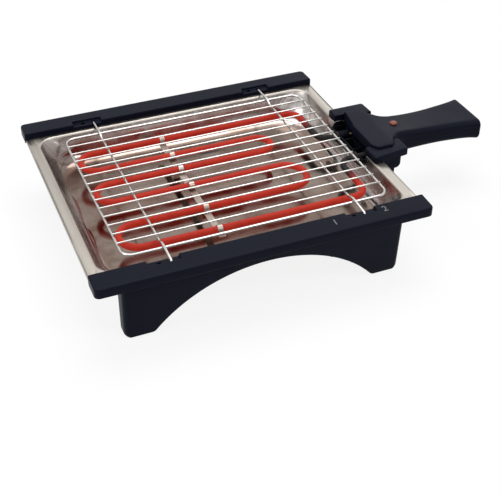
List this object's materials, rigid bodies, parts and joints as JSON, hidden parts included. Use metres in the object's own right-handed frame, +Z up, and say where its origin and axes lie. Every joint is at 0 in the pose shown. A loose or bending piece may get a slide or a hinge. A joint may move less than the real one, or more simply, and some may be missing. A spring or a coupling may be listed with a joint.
{
  "type": "tabletop electric grill",
  "caption": "Tabletop electric grill: wire rack over a tubular element in a steel drip tray, on arched plastic legs, with a lift-out control handle.",
  "frame": {"origin": "on the table, under the middle of the whole grill with its handle", "axes": "+Z up; +X along the side rails, towards the control handle; the front of the grill faces -Y"},
  "size_m": [0.5412, 0.3494, 0.0926],
  "materials": {
    "stainless": "bright drawn stainless sheet",
    "black_plastic": "fine satin, blue-black",
    "rubber": "dull",
    "zinc_screw": "zinc plated",
    "chrome_wire": "plated wire",
    "hot_tube": "oxidised sheath, shown glowing red",
    "strip_steel": "plain strip",
    "black_resin": "moulded heat-proof resin",
    "red_lens": "clear orange-red",
    "lamp_glass": "small neon lamp",
    "brass_pin": "plain"
  },
  "bodies": {
    "base": {"tray": "stainless", "front_rail": "black_plastic", "back_rail": "black_plastic", "front_leg": "black_plastic", "back_leg": "black_plastic", "front_screw_left": "zinc_screw", "front_screw_middle": "zinc_screw", "front_screw_right": "zinc_screw", "back_screw_left": "zinc_screw", "back_screw_middle": "zinc_screw", "back_screw_right": "zinc_screw", "front_pad_left": "rubber", "front_pad_right": "rubber", "back_pad_left": "rubber", "back_pad_right": "rubber", "rim_holder": "black_plastic", "holder_screw_front": "zinc_screw", "holder_screw_back": "zinc_screw"},
    "element_unit": {"control_base": "black_plastic", "control_cover": "black_plastic", "control_screw_box_front": "zinc_screw", "control_screw_box_back": "zinc_screw", "control_screw_handle_inner": "zinc_screw", "control_screw_handle_outer": "zinc_screw", "heating_element": "hot_tube", "element_strip": "strip_steel", "cold_end_collar_front": "strip_steel", "cold_end_collar_back": "strip_steel", "terminal_block": "black_resin", "safety_switch": "black_resin", "thermal_cutout": "black_resin", "cord_clamp": "black_resin", "terminal_pin_front": "brass_pin", "terminal_pin_back": "brass_pin", "pilot_lens": "red_lens", "pilot_lamp": "lamp_glass", "cord_gland": "rubber"},
    "rack": {"rack_ring": "chrome_wire", "rack_rod_01": "chrome_wire", "rack_rod_02": "chrome_wire", "rack_rod_03": "chrome_wire", "rack_rod_04": "chrome_wire", "rack_rod_05": "chrome_wire", "rack_rod_06": "chrome_wire", "rack_rod_07": "chrome_wire", "rack_rod_08": "chrome_wire", "rack_rod_09": "chrome_wire", "rack_rod_10": "chrome_wire", "rack_rod_11": "chrome_wire", "rack_rod_12": "chrome_wire", "rack_rod_13": "chrome_wire", "rack_support_left": "chrome_wire", "rack_support_right": "chrome_wire"},
    "switch_button": {"switch_button": "red_lens"}
  },
  "joints": [
    {"name": "unit_lift", "type": "slide", "parent": "base", "child": "element_unit", "axis": [0, 0, 1], "range_m": [0, 0.05]},
    {"name": "rack_lift", "type": "slide", "parent": "element_unit", "child": "rack", "axis": [0, 0, 1], "range_m": [0, 0.06]},
    {"name": "switch_press", "type": "slide", "parent": "element_unit", "child": "switch_button", "axis": [0, 0, 1], "range_m": [0, 0.001], "stiffness_N_per_m": 400, "springref_m": -0.002}
  ]
}
